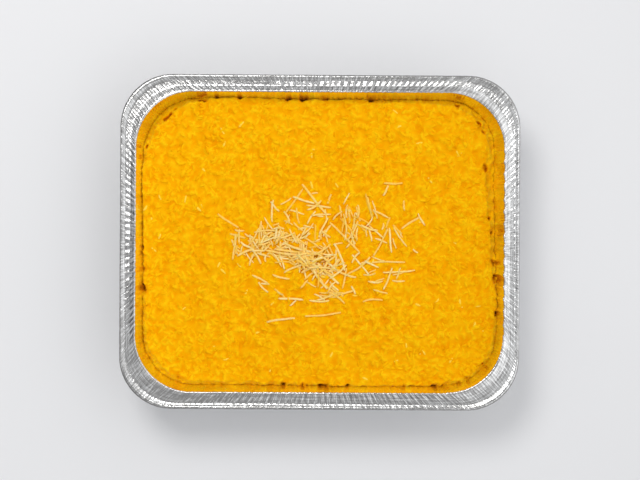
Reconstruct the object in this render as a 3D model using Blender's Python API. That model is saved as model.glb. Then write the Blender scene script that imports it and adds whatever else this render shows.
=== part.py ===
"""A foil tray of creamy yellow rice under a scatter of shredded hard cheese.

Sizes are in millimetres and become Blender's metres through MM. The origin is the centre of the tray's
underside, +X runs along its length and +Z is up.
"""

import math
import random

import bmesh
import bpy
from mathutils import Matrix, Vector, noise
from mathutils.bvhtree import BVHTree
from mathutils.geometry import delaunay_2d_cdt

MM = 0.001

# The tray: outlines at the rolled rim and at the mouth, where the wall begins
RIM_LENGTH, RIM_WIDTH, RIM_CORNER = 320.0, 268.0, 42.0
MOUTH_LENGTH, MOUTH_WIDTH, MOUTH_CORNER = 294.2, 239.8, 45.0
RIM_BREADTH = (RIM_LENGTH - MOUTH_LENGTH) / 2
TRAY_HEIGHT = 64.0
WALL = 0.6
DRAFT = math.tan(math.radians(14.0))
FLOOR_BEND = 5.0

# The rim's section: a raised lip, a slope down to a flat flange, and a rolled edge
LIP_DROP = 1.4
LIP_CREST = 0.9
SLOPE_FOOT = 4.2
FLANGE_DROP = 1.9
FLANGE_EDGE = 8.9
ROLL_DEPTH = 3.4

# Creases in the foil
CORNER_STEPS, LONG_STEPS, SHORT_STEPS = 16, 10, 8
PLEAT_DEPTH, CRINKLE_DEPTH = 0.55, 0.15
CREASE_SEED = 11

# The food: its level, its relief and how far its top edge stands in from the mouth
FOOD_LEVEL = 50.0
FOOD_CROWN = 1.6
SWELL_HEIGHT, SWELL_LENGTH = 2.4, 62.0
LUMP_HEIGHT, LUMP_LENGTH = 1.5, 21.0
GRAIN_LENGTH, GRAIN_WIDTH = 6.4, 2.5
GRAIN_RELIEF = 0.6
GRAIN_SPACING = 7.0
FOOD_SEED = 5
BLUFF_LEAN = math.tan(math.radians(30.0))
FOOD_GAP = 0.6
FLOOR_GAP = 0.3
FOOD_CORNER_STEPS, FOOD_LONG_STEPS, FOOD_SHORT_STEPS = 11, 20, 16
# Four insets a quadrant, from the +X +Y corner round to the left: corner, then start, middle and end of its side
EDGE_INSETS = (11.2, 7.0, 5.5, 3.8, 12.5, 4.0, 5.0, 6.0, 9.4, 7.0, 5.3, 4.4, 8.8, 4.8, 9.4, 13.6)
EDGE_RAGGED, EDGE_RAGGED_LENGTH = 1.6, 9.0
LOOSE_GRAINS = 26

# The cheese: strips of one size range, some lying where they stand out and the rest strewn in patches
SHRED_WIDTH, SHRED_THICKNESS = 1.5, 1.1
SHRED_LENGTHS = (8.0, 19.0)
SHRED_BEND = 1.3
STRAIGHT_BELOW = 18.0
SHRED_LIFT = 0.45
SHRED_GAP = 0.3
LAY_TRIES = 60
# Centre x and y, length and heading in degrees of the shreds that stand out singly
LONE_SHREDS = (
    (-5, 35, 30, -51), (-1, 29, 20, -5), (-38, 25, 18, 88), (-74, 17, 20, -33), (-69, -4, 21, 83),
    (1, 22, 16, 4), (3, 13, 15, 63), (59, 48, 15, 0), (53, 42, 9, 65), (68, 30, 8, -87),
    (40, 30, 20, -72), (49, 23, 14, -25), (23, 11, 21, -52), (20, 4, 34, -45), (73, 16, 17, 33),
    (82, 19, 11, -59), (57, 2, 20, -85), (65, 5, 19, -56), (53, -16, 32, 1), (64, -23, 26, 4),
    (55, -29, 19, 69), (43, -47, 16, 4), (20, -29, 17, 79), (16, -12, 23, -68), (33, -18, 21, -50),
    (10, -40, 22, -41), (-23, -46, 20, -2), (3, -58, 29, 6), (-31, -63, 23, 8), (-31, -28, 14, -13),
    (-28, -9, 32, -8), (-17, -7, 37, -4), (-18, -4, 24, -18), (-4, -24, 23, -50), (0, -28, 23, -56),
    (7, -25, 24, -44), (-48, 6, 15, 90), (-44, 8, 18, 4), (-21, 33, 25, 54), (40, 12, 14, -18),
    (49, 0, 25, 63), (45, -31, 12, 0), (0, -47, 16, 0), (-48, -30, 14, -27),
)
# Patches: centre x and y, half length and half width, tilt, the shreds' heading and its spread, and their number
PATCHES = (
    (-28, -7, 34, 13, -17, -10, 60, 17),
    (-2, -17, 20, 13, 0, 0, 90, 12),
    (46, 13, 24, 17, 0, -70, 55, 8),
    (24, 21, 8, 9, 0, 90, 25, 5),
    (-12, 30, 24, 13, 0, 0, 90, 3),
    (-16, -39, 38, 10, 0, 0, 40, 6),
    (45, -27, 25, 12, 0, 20, 60, 4),
    (-61, -3, 13, 13, 0, 0, 90, 4),
    (4, -5, 76, 46, 0, 0, 90, 3),
)
SHRED_SEED = 61

COLOURS = {
    "foil": ((0.82, 0.82, 0.83), 0.3, 1.0),
    "rice": ((0.95, 0.44, 0.01), 0.4, 0.0),
    "cheese": ((0.97, 0.70, 0.34), 0.5, 0.0),
}


def material(name):
    """A Principled material in one of the three finishes."""
    colour, roughness, metallic = COLOURS[name]
    made = bpy.data.materials.new(name)
    made.use_nodes = True
    shader = made.node_tree.nodes["Principled BSDF"]
    shader.inputs["Base Color"].default_value = (*colour, 1)
    shader.inputs["Roughness"].default_value = roughness
    shader.inputs["Metallic"].default_value = metallic
    return made


def mesh_object(name, points, faces, finish):
    """An object from points in millimetres, with its faces turned outward."""
    form = bmesh.new()
    corners = [form.verts.new(Vector(p) * MM) for p in points]
    for face in faces:
        form.faces.new([corners[i] for i in face])
    bmesh.ops.recalc_face_normals(form, faces=form.faces)
    data = bpy.data.meshes.new(name)
    form.to_mesh(data)
    form.free()
    data.materials.append(finish)
    made = bpy.data.objects.new(name, data)
    bpy.context.scene.collection.objects.link(made)
    return made


def bands(rows):
    """Quads that join closed rows of points, each of the same length, from one row to the next."""
    count = len(rows[0])
    faces = []
    for row in range(len(rows) - 1):
        for k in range(count):
            after = (k + 1) % count
            here, above = row * count, (row + 1) * count
            faces.append((here + k, here + after, above + after, above + k))
    return faces


def outline_sizes(spread):
    """Length, width and corner radius of the level outline this far out from the mouth.

    Inside the mouth the outline is an even inset. Across the rim it grows into the rim's own outline.
    """
    if spread <= 0:
        return MOUTH_LENGTH + 2 * spread, MOUTH_WIDTH + 2 * spread, MOUTH_CORNER + spread
    share = spread / RIM_BREADTH
    return (
        MOUTH_LENGTH + share * (RIM_LENGTH - MOUTH_LENGTH),
        MOUTH_WIDTH + share * (RIM_WIDTH - MOUTH_WIDTH),
        MOUTH_CORNER + share * (RIM_CORNER - MOUTH_CORNER),
    )


def outline_point(spread, quadrant, travel):
    """The point and outward direction on that outline.

    Travel runs from 0 to 1 round the quadrant's corner and from 1 to 2 along the side after it.
    """
    length, width, radius = outline_sizes(spread)

    def on_corner(quarter, share):
        quarter %= 4
        angle = math.radians(90 * (quarter + share))
        outward = Vector((math.cos(angle), math.sin(angle)))
        centre = Vector((length / 2 - radius, width / 2 - radius))
        signs = ((1, 1), (-1, 1), (-1, -1), (1, -1))[quarter]
        return Vector((signs[0] * centre.x, signs[1] * centre.y)) + radius * outward, outward

    if travel <= 1:
        return on_corner(quadrant, travel)
    start, outward = on_corner(quadrant, 1)
    end, _ = on_corner(quadrant + 1, 0)
    return start.lerp(end, travel - 1), outward


def stations(corner_steps, long_steps, short_steps):
    """Quadrant and travel of each point round an outline."""
    places = []
    for quadrant in range(4):
        side_steps = short_steps if quadrant % 2 else long_steps
        places += [(quadrant, k / corner_steps) for k in range(corner_steps)]
        places += [(quadrant, 1 + k / side_steps) for k in range(side_steps)]
    return places


def wall_spread(height):
    """How far the wall's inner face stands in from the mouth at a height, as a spread of 0 or less."""
    return -(TRAY_HEIGHT - LIP_DROP - height) * DRAFT


def tray_section():
    """Spread, height, sideways crease share and upright crease share, from the floor's inside to its underside."""
    top = TRAY_HEIGHT
    flange = top - FLANGE_DROP
    lip = top - LIP_DROP
    foot, shoulder = 6.5, 50.0
    floor_edge = wall_spread(WALL) - FLOOR_BEND
    bend = wall_spread(WALL) - FLOOR_BEND / 4
    wall_across = WALL * math.hypot(1, DRAFT)
    roll_bottom = top - ROLL_DEPTH
    return (
        (floor_edge, WALL, 0, 0),
        (bend, 2.0, 0, 0),
        (wall_spread(foot), foot, 0.3, 0),
        (wall_spread(shoulder), shoulder, 1, 0),
        (0, lip, 0.8, 0),
        (LIP_CREST, top, 0, 0),
        (SLOPE_FOOT, flange, 0, 0.8),
        (FLANGE_EDGE, flange, 0, 0.6),
        (RIM_BREADTH - 2.0, top - 0.4, 0, 0.2),
        (RIM_BREADTH - 0.9, top - 0.5, 0, 0.1),
        (RIM_BREADTH, top - 1.5, 0, 0),
        (RIM_BREADTH, top - 2.6, 0, 0),
        (RIM_BREADTH - 1.2, roll_bottom, 0, 0),
        (FLANGE_EDGE + 0.4, roll_bottom + 0.5, 0, 0.2),
        (FLANGE_EDGE - 0.4, flange - WALL, 0, 0.6),
        (SLOPE_FOOT + 0.2, flange - WALL, 0, 0.8),
        (LIP_CREST + 0.2, top - 0.9, 0, 0),
        (wall_across, lip - 0.3, 0.8, 0),
        (wall_spread(shoulder) + wall_across, shoulder, 1, 0),
        (wall_spread(foot) + wall_across, foot, 0.3, 0),
        (bend + 0.4, 1.3, 0, 0),
        (floor_edge, 0, 0, 0),
    )


def make_tray(finish):
    """The foil tray as one closed skin: inside, rim, rolled edge and outside."""
    draw = random.Random(CREASE_SEED)
    places = stations(CORNER_STEPS, LONG_STEPS, SHORT_STEPS)
    creases = []
    for k, (_, travel) in enumerate(places):
        depth = PLEAT_DEPTH if travel <= 1 else CRINKLE_DEPTH
        creases.append((1 if k % 2 else -1) * depth * draw.uniform(0.7, 1.2))
    rows = []
    for spread, height, sideways, upright in tray_section():
        row = []
        for (quadrant, travel), crease in zip(places, creases):
            point, outward = outline_point(spread, quadrant, travel)
            point = point + outward * crease * sideways
            row.append((point.x, point.y, height + crease * upright))
        rows.append(row)
    count = len(places)
    points = [p for row in rows for p in row]
    faces = bands(rows)
    faces.append(tuple(range(count)))
    faces.append(tuple((len(rows) - 1) * count + k for k in range(count)))
    return mesh_object("foil_tray", points, faces, finish)


def food_height(x, y):
    """The food's top, without its grains: a low crown with swells and lumps."""
    crown = FOOD_CROWN * (1 - (2 * x / MOUTH_LENGTH) ** 2) * (1 - (2 * y / MOUTH_WIDTH) ** 2)
    swell = SWELL_HEIGHT * noise.noise(Vector((x / SWELL_LENGTH, y / SWELL_LENGTH, 1.3)))
    lump = LUMP_HEIGHT * noise.noise(Vector((x / LUMP_LENGTH, y / LUMP_LENGTH, 7.7)))
    return FOOD_LEVEL + crown + swell + lump


def edge_inset(quadrant, travel):
    """How far in from the mouth the food's top edge stands: the inset of its place, and ragged by its lumps."""
    if travel <= 1:
        slot = 4 * quadrant + (travel - 0.5)
    else:
        slot = 4 * quadrant + 0.5 + 3 * (travel - 1)
    low = math.floor(slot)
    share = slot - low
    share = share * share * (3 - 2 * share)
    before, after = EDGE_INSETS[low % 16], EDGE_INSETS[(low + 1) % 16]
    even = before + share * (after - before)
    point, _ = outline_point(0, quadrant, travel)
    ragged = noise.noise(Vector((point.x / EDGE_RAGGED_LENGTH, point.y / EDGE_RAGGED_LENGTH, 3.1)))
    return even + EDGE_RAGGED * ragged


def food_rows():
    """The food's side, from its top edge down a leaning bluff to the wall, and down the wall to the floor."""
    draw = random.Random(FOOD_SEED)
    rows = [[] for _ in range(5)]
    foot = 7.0
    for quadrant, travel in stations(FOOD_CORNER_STEPS, FOOD_LONG_STEPS, FOOD_SHORT_STEPS):
        gap = FOOD_GAP + (PLEAT_DEPTH if travel <= 1 else 0)
        inset = edge_inset(quadrant, travel)
        edge, _ = outline_point(-inset, quadrant, travel)
        top = food_height(edge.x, edge.y) - 0.8 + draw.uniform(-1, 1) * GRAIN_RELIEF
        depth = TRAY_HEIGHT - LIP_DROP - top
        inset = max(inset, depth * DRAFT + gap)
        meets = (inset - gap + depth * BLUFF_LEAN) / (DRAFT + BLUFF_LEAN)
        meets = max(meets, depth + 2.0)
        contact = TRAY_HEIGHT - LIP_DROP - meets
        wall_in = meets * DRAFT + gap
        shoulder_in = max(inset + 0.4 * (wall_in - inset), (depth + 0.25 * (meets - depth)) * DRAFT + gap)
        levels = (
            (inset, top),
            (shoulder_in - 0.3, top - 0.25 * (meets - depth)),
            (wall_in, contact),
            (-wall_spread(foot) + gap, foot),
            (-wall_spread(WALL) + FLOOR_BEND, WALL + FLOOR_GAP),
        )
        for row, (level_in, height) in zip(rows, levels):
            point, _ = outline_point(-level_in, quadrant, travel)
            row.append((point.x, point.y, height))
    return rows


def make_food_core(finish):
    """The rice as one mass, its top a field of bumps as long as a grain."""
    rows = food_rows()
    edge = rows[0]
    draw = random.Random(FOOD_SEED + 1)
    inner = [Vector(p[:2]) for p in edge]
    field = []
    row_step = GRAIN_SPACING * math.sqrt(3) / 2
    rows_up = int(MOUTH_WIDTH / 2 / row_step)
    across = int(MOUTH_LENGTH / 2 / GRAIN_SPACING)
    for j in range(-rows_up, rows_up + 1):
        for i in range(-across, across + 1):
            x = (i + 0.5 * (j % 2)) * GRAIN_SPACING + draw.uniform(-1, 1)
            y = j * row_step + draw.uniform(-1, 1)
            bump = draw.uniform(-1, 1) * GRAIN_RELIEF
            if inside_outline(x, y, edge, GRAIN_SPACING * 0.55):
                field.append((x, y, food_height(x, y) + bump))
    count = len(edge)
    flat = inner + [Vector(p[:2]) for p in field]
    ring = [(k, (k + 1) % count) for k in range(count)]
    _, _, triangles, _, _, _ = delaunay_2d_cdt(flat, ring, [], 1, 1e-6)
    # The side's rows come first, then the field, so a field point's index moves past the other rows
    shift = (len(rows) - 1) * count
    faces = [tuple(i if i < count else i + shift for i in t) for t in triangles]
    faces += bands(rows)
    faces.append(tuple((len(rows) - 1) * count + k for k in range(count)))
    points = [p for row in rows for p in row] + field
    return mesh_object("rice", points, faces, finish)


def inside_outline(x, y, edge, margin):
    """Whether a point lies inside a closed row of points, and at least a margin from each of them."""
    inside = False
    for k, (x1, y1, _) in enumerate(edge):
        x2, y2, _ = edge[k - 1]
        if math.hypot(x - x1, y - y1) < margin:
            return False
        if (y1 > y) != (y2 > y) and x < (x2 - x1) * (y - y1) / (y2 - y1) + x1:
            inside = not inside
    return inside


def surface_finder(thing):
    """A function that gives a solid's top height in millimetres over a point, or None beside it."""
    tree = BVHTree.FromPolygons(
        [v.co / MM for v in thing.data.vertices], [tuple(p.vertices) for p in thing.data.polygons]
    )

    def height(x, y):
        hit = tree.ray_cast(Vector((x, y, 2 * TRAY_HEIGHT)), Vector((0, 0, -1)))[0]
        return None if hit is None else hit.z

    return height


def add_loose_grains(height, lines, finish):
    """Grains that lie half sunk on the rice, spread evenly by an angle that never repeats, clear of the shreds."""
    draw = random.Random(FOOD_SEED + 2)
    golden = math.pi * (3 - math.sqrt(5))
    grains = []
    for k in range(LOOSE_GRAINS):
        reach = 0.9 * math.sqrt((k + 0.5) / LOOSE_GRAINS)
        angle = golden * k
        x = reach * math.cos(angle) * (MOUTH_LENGTH / 2 - 14)
        y = reach * math.sin(angle) * (MOUTH_WIDTH / 2 - 14)
        heading = draw.uniform(0, 180)
        own_line = shred_line((x, y, GRAIN_LENGTH, heading, 0, 0))
        if any(lines_cross(own_line, line, (GRAIN_WIDTH + SHRED_WIDTH) / 2 + SHRED_GAP) for line in lines):
            continue
        form = bmesh.new()
        bmesh.ops.create_icosphere(form, subdivisions=1, radius=0.5)
        bmesh.ops.scale(form, vec=(GRAIN_LENGTH, GRAIN_WIDTH, GRAIN_WIDTH), verts=form.verts)
        turn = Matrix.Rotation(math.radians(heading), 3, "Z")
        bmesh.ops.rotate(form, matrix=turn, verts=form.verts)
        bmesh.ops.translate(form, vec=(x, y, height(x, y) + 0.5), verts=form.verts)
        points = [tuple(v.co) for v in form.verts]
        faces = [tuple(v.index for v in f.verts) for f in form.faces]
        form.free()
        grains.append(mesh_object(f"grain_{k:02d}", points, faces, finish))
    return grains


def draw_shred(draw, patch):
    """Centre, length, heading, bend and layer of one more shred in a patch."""
    x, y, half_length, half_width, tilt, heading, spread, _ = patch
    reach = math.sqrt(draw.random())
    angle = draw.uniform(0, 2 * math.pi)
    along = reach * half_length * math.cos(angle)
    aside = reach * half_width * math.sin(angle)
    tilt = math.radians(tilt)
    return (
        x + along * math.cos(tilt) - aside * math.sin(tilt),
        y + along * math.sin(tilt) + aside * math.cos(tilt),
        draw.uniform(*SHRED_LENGTHS),
        heading + draw.uniform(-spread, spread),
        draw.uniform(-SHRED_BEND, SHRED_BEND),
        draw.choice((0, 1, 1, 2)),
    )


def shred_layout():
    """Every shred: the lone ones, then each patch's own, which are laid across the heap where they reach it."""
    draw = random.Random(SHRED_SEED)
    shreds = [(*place, draw.uniform(-SHRED_BEND, SHRED_BEND), 0) for place in LONE_SHREDS]
    lines = [shred_line(shred) for shred in shreds]
    for number, patch in enumerate(PATCHES, 1):
        draw = random.Random(SHRED_SEED + number)
        heap = [lines[k] for k in largest_pile(lines)]
        for _ in range(patch[-1]):
            for _ in range(LAY_TRIES):
                shred = draw_shred(draw, patch)
                line = shred_line(shred)
                if any(lines_cross(line, other, SHRED_WIDTH / 2) for other in heap):
                    heap.append(line)
                    break
            shreds.append(shred)
            lines.append(line)
    return shreds


def shred_line(shred):
    """A shred's points in plan: its ends and, on a longer one, its middle, put aside by its bend."""
    x, y, length, heading, bend, _ = shred
    along = Vector((math.cos(math.radians(heading)), math.sin(math.radians(heading))))
    aside = Vector((-along.y, along.x))
    centre = Vector((x, y))
    ends = centre - along * length / 2, centre + along * length / 2
    return ends if length < STRAIGHT_BELOW else (ends[0], centre + aside * bend, ends[1])


def highest_under(line, height):
    """The rice's highest point under each half of a shred's line."""
    found = []
    for start, end in zip(line, line[1:]):
        aside = Vector((start.y - end.y, end.x - start.x)).normalized()
        reach = SHRED_WIDTH / 2 + 0.3
        steps = 12
        tops = [
            height(*(start.lerp(end, k / steps) + aside * side))
            for k in range(-1, steps + 2)
            for side in (-reach, 0, reach)
        ]
        found.append(max(top for top in tops if top is not None))
    return found


def make_shred(name, line, heights, finish):
    """One strip of cheese: a rectangle's section at each point of its line, its underside at the heights given."""
    rows = []
    for k, point in enumerate(line):
        before, after = line[max(k - 1, 0)], line[min(k + 1, len(line) - 1)]
        aside = Vector((before.y - after.y, after.x - before.x)).normalized() * SHRED_WIDTH / 2
        low, high = heights[k], heights[k] + SHRED_THICKNESS
        left, right = point + aside, point - aside
        rows.append(((*left, low), (*right, low), (*right, high), (*left, high)))
    points = [p for row in rows for p in row]
    last = 4 * (len(rows) - 1)
    faces = bands(rows) + [(0, 1, 2, 3), (last + 3, last + 2, last + 1, last)]
    return mesh_object(name, points, faces, finish)


def lines_cross(one, other, margin):
    """Whether two shreds' lines come within a margin of each other in plan."""
    apart = ((one[0] + one[-1]) / 2 - (other[0] + other[-1]) / 2).length
    if apart > ((one[0] - one[-1]).length + (other[0] - other[-1]).length) / 2 + margin + SHRED_BEND:
        return False
    steps = 16
    for start, end in zip(one, one[1:]):
        for k in range(steps + 1):
            point = start.lerp(end, k / steps)
            for a, b in zip(other, other[1:]):
                along = b - a
                share = min(1, max(0, (point - a).dot(along) / along.length_squared))
                if (point - a - along * share).length < margin:
                    return True
    return False


def largest_pile(lines):
    """The numbers of the shreds in the largest pile that crossing shreds make."""
    left = set(range(len(lines)))
    piles = []
    while left:
        pile, edge = set(), [left.pop()]
        while edge:
            here = edge.pop()
            pile.add(here)
            touching = {k for k in left if lines_cross(lines[here], lines[k], SHRED_WIDTH / 2)}
            left -= touching
            edge += touching
        piles.append(pile)
    return max(piles, key=len)


def join_all(base, others):
    """One Boolean union of an object with a collection of others, which are then removed."""
    group = bpy.data.collections.new("to_join")
    for thing in others:
        group.objects.link(thing)
    union = base.modifiers.new("join", "BOOLEAN")
    union.operation = "UNION"
    union.operand_type = "COLLECTION"
    union.collection = group
    union.solver = "MANIFOLD"
    bpy.context.view_layer.update()
    graph = bpy.context.evaluated_depsgraph_get()
    joined = bpy.data.meshes.new_from_object(base.evaluated_get(graph))
    base.modifiers.clear()
    base.data = joined
    for thing in others:
        bpy.data.objects.remove(thing)
    bpy.data.collections.remove(group)


def keep_largest_body(thing):
    """Drops every loose scrap of a mesh but its largest body."""
    form = bmesh.new()
    form.from_mesh(thing.data)
    left = set(form.verts)
    bodies = []
    while left:
        body, edge = set(), [left.pop()]
        while edge:
            here = edge.pop()
            body.add(here)
            near = {e.other_vert(here) for e in here.link_edges} & left
            left -= near
            edge += near
        bodies.append(body)
    bodies.sort(key=len)
    for body in bodies[:-1]:
        bmesh.ops.delete(form, geom=list(body), context="VERTS")
    form.to_mesh(thing.data)
    form.free()


def make_food(rice_finish, cheese_finish):
    """The rice with its loose grains and stray shreds, and the pile of cheese that lies on it."""
    rice = make_food_core(rice_finish)
    height = surface_finder(rice)
    shreds = shred_layout()
    lines = [shred_line(shred) for shred in shreds]
    pile = largest_pile(lines)
    grains = add_loose_grains(height, lines, rice_finish)
    clear = SHRED_WIDTH + 2 * SHRED_GAP
    piled, stray = [], []
    for k, line in enumerate(lines):
        tops = highest_under(line, height)
        ends = tops * 2 if len(tops) == 1 else (tops[0], max(tops), tops[-1])
        if k in pile:
            lift = SHRED_GAP + SHRED_LIFT * shreds[k][5]
            piled.append(make_shred(f"shred_{k:03d}", line, [h + lift for h in ends], cheese_finish))
        elif not any(lines_cross(line, lines[other], clear) for other in pile):
            sunk = [h - 0.7 * SHRED_THICKNESS for h in ends]
            stray.append(make_shred(f"shred_{k:03d}", line, sunk, rice_finish))
    join_all(rice, grains + stray)
    keep_largest_body(rice)
    cheese = piled[0]
    cheese.name = "cheese_shreds"
    join_all(cheese, piled[1:])
    keep_largest_body(cheese)
    return rice, cheese


def main():
    for thing in list(bpy.data.objects):
        bpy.data.objects.remove(thing)
    foil, rice_finish, cheese_finish = (material(name) for name in COLOURS)
    make_tray(foil)
    make_food(rice_finish, cheese_finish)


main()
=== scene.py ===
"""The looks of the foil tray meal: creased foil, creamy rice grain by grain, and strewn cheese shreds.

Sizes are in millimetres, as in the part's own source, and become Blender's metres through MM.
"""

import math
import random

import bpy
import numpy as np
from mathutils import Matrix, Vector, noise


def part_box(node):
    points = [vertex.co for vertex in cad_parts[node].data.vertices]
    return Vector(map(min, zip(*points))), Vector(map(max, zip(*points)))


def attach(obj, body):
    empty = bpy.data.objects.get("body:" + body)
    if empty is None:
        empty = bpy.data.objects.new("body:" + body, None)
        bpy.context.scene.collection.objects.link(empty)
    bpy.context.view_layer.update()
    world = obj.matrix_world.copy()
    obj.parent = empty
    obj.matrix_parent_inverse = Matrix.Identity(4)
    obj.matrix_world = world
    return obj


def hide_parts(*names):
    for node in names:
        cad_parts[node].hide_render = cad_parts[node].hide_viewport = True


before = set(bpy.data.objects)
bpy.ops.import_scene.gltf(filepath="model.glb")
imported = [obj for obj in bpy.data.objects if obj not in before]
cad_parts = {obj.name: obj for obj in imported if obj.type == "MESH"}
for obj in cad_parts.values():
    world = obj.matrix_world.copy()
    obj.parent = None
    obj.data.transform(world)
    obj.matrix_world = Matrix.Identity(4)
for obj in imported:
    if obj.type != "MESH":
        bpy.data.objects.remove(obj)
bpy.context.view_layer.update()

MM = 0.001

# The tray, its rim's size read from the frame
RIM_LENGTH, RIM_WIDTH, TRAY_HEIGHT = (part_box("foil_tray")[1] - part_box("foil_tray")[0]) / MM
RIM_CORNER = 42.0
MOUTH_LENGTH, MOUTH_WIDTH, MOUTH_CORNER = 294.2, 239.8, 45.0
RIM_BREADTH = (RIM_LENGTH - MOUTH_LENGTH) / 2
FOIL = 0.3
DRAFT = math.tan(math.radians(14.0))
FLOOR_BEND = 6.0
# The rim's section: a round lip, a slope down to a flat flange, and a rolled edge
LIP_DROP, LIP_RADIUS = 1.4, 0.85
SLOPE_FOOT, FLANGE_EDGE, FLANGE_DROP = 4.9, 8.9, 1.9
ROLL_RADIUS, ROLL_DROP = 1.45, 1.95

# Creases: how far apart and how deep, round the corners and along the sides
CORNER_STEPS, LONG_STEPS, SHORT_STEPS = 100, 270, 200
PLEAT_GAPS, PLEAT_DEPTH = (0.9, 1.7), 0.42
CRINKLE_GAPS, CRINKLE_DEPTH = (1.7, 2.8), 0.42
CREASE_SHARES = (0.35, 1.0)
CREASE_SEED = 11
# Shallow upright flutes in the wall of the right-hand side
FLUTE_LENGTH, FLUTE_DEPTH, FLUTE_MIDDLE = 9.7, 0.75, 1.2
# The share of a crease or a flute that shows: by height in the wall, and by spread over the lip and the rim
RIM_START, RIM_DEPTH = 0.3, 5
WALL_FOLDS = (5, 30, 50, TRAY_HEIGHT - 3, TRAY_HEIGHT - 0.9), (0, 0.6, 1, 1, 0.6)
LIP_FOLDS = (RIM_START, 1.4), (0.6, 0)
LIP_FLUTES = (RIM_START, 2.0), (1, 0)
RIM_FOLDS = (1.0, 2.4, 5, 8.4, 10.5, 12), (0, 1.0, 0.8, 0.45, 0.3, 0)
# Dents as layers of noise of a depth, a length and a seed, with their limits, and how deep they are by spread
DENTS = ((0.8, 2.6, 4.2), (0.8, 1.3, 9.7))
DENT_OUT, DENT_UP = 0.2, 0.3
CRUMPLE_DEPTH = 0.15
CRUMPLE_SHARES = (-70, -4, 1, 3, 5, 9, 11), (0, 0.25, 0.2, 0.5, 0.9, 1, 1)
ROLL_BREADTH = 0.8

# The foil's colours: dull in scratches and where painted shade darkens it, bright between them, and warm where
# sauce has filmed it and a painted reflection of the food tints it
FOIL_DULL = (0.36, 0.355, 0.35)
FOIL_BRIGHT = (0.9, 0.9, 0.9)
# The inside's warm tint is partly a film of sauce and partly a painted reflection of the food
FOIL_INSIDE = (1.0, 0.97, 0.8)
# Its tones: the higher, the fewer scratches and the less painted shade, up to the filmed inside. The roll's
# outer flank is painted almost black, and the rim and lip duller, all as painted shade
FLANK_SHADE_TONE, RIM_TONE, LIP_TONE, OUTSIDE_TONE, INSIDE_TONE = 0.05, 0.42, 0.46, 0.66, 1.0
FLANK_BREADTH, LIP_BREADTH, LIP_DEPTH = 0.55, 0.9, 1.0
# Painted light on the rim: its tone rises on the right, and falls at the front and back
RIM_SIDE_LIGHT = (0.07, 0.03)

# The food's form, as in the part
FOOD_LEVEL = 50.0
FOOD_CROWN = 1.6
SWELL_HEIGHT, SWELL_LENGTH = 2.4, 62.0
LUMP_HEIGHT, LUMP_LENGTH = 1.5, 21.0
BLUFF_LEAN = math.tan(math.radians(30.0))
EDGE_INSETS = (11.2, 7.0, 5.5, 3.8, 12.5, 4.0, 5.0, 6.0, 9.4, 7.0, 5.3, 4.4, 8.8, 4.8, 9.4, 13.6)
EDGE_RAGGED, EDGE_RAGGED_LENGTH = 1.6, 9.0
# Its edge in finer detail: raggedness, the bluff's shoulder and foot, the painted light that pales the bluff,
# and notches between food and foil, also darkened with painted shade
EDGE_FINE = ((1.5, 4.2, 5.9), (0.8, 2.2, 8.4))
BLUFF_BAND, BLUFF_SHOULDER, BLUFF_FOOT, BLUFF_PAINTED_LIGHT = 22, 0.7, 14.0, 0.4
NOTCH_ABOVE, NOTCH_FADE, NOTCH_LENGTH = 0.3, 0.15, 6.0
NOTCH_DEPTH, NOTCH_OUT, NOTCH_BREADTH = 6.0, 1.0, 1.2
# Where it meets the wall, and its hidden sides
OUTLINE_STEPS = (120, 360, 270)
CONTACT_DEPTHS = (6.0, 40.0, 0.25)
FOOD_OVERLAP = 0.06
WALL_CLEAR, SIDE_DROP, FOOT_HEIGHT, FLOOR_GAP = 0.9, 2.0, 8.0, 0.9

# The food's surface: finer lumps, grains pressed into it, and the grains that stand free
MAP_STEP, COARSE_STEP = 0.5, 2.0
MESH_STEP, ROW_SHIFT = 0.98, (1.12, 0.12)
FINE_LUMPS = ((1.3, 12.0, 2.2), (0.8, 5.5, 8.1))
GRAIN_LENGTH, GRAIN_WIDTH = 6.4, 2.3
GRAIN_LENGTHS, GRAIN_WIDTHS = (0.75, 1.12), (0.85, 1.1)
GRAIN_LIFT, GRAIN_TILT = (-0.55, 0.35), (0, 0.16)
GRAIN_MARGIN = 3
PRESSED_GRAINS, FREE_GRAINS = 8200, 4600
GRAIN_SIDES, GRAIN_RINGS = 6, 3
GRAIN_FLATNESS, GRAIN_BEND = 0.85, 0.35
GRAIN_SINK = (0.45, 0.75)
EDGE_CLEAR, GRAIN_CLEAR = 1.2, 0.8
SAUCE_BLURS = (0.8, 0.6)
FOOD_SEED = 5

# The food's colours: darker in a hollow as painted shade, and paler on a grain that stands up as painted
# light, where there is more sauce and where less
RICE_DEEP = ((0.83, 0.295, 0.0003), (0.97, 0.46, 0.001))
RICE_PALE = ((0.9, 0.37, 0.0003), (1.0, 0.62, 0.006))
# A painted glint: pale specks on a few free grains
RICE_GLINT = (1.0, 0.66, 0.07)
# Painted shade in the deepest crevices
RICE_CREVICE_SHADE = (0.6, 0.21, 0.0003)
# Its tone, which paints shade into hollows, is 0.5 where the surface is level with what is round it, and 1
# lower in a hollow of this depth
TONE_PASSES, TONE_DEPTH = 40, 1.15
TONE_LIMITS = (0.12, 0.9)
# The hidden sides take a hollow's deeper colour, as painted shade
SIDE_TONE = 0.3
# Below these depths the tone falls to the crevice's painted shade
CREVICE_DEPTHS = (2.0, 3.2)
# Each free grain's own tone, and the painted light along its top
GRAIN_TONE, GRAIN_TOP_LIGHT = (0.64, 0.26), 0.3
# The share of free grains that carry a painted glint
GLINT_SHARE = 0.012

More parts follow.
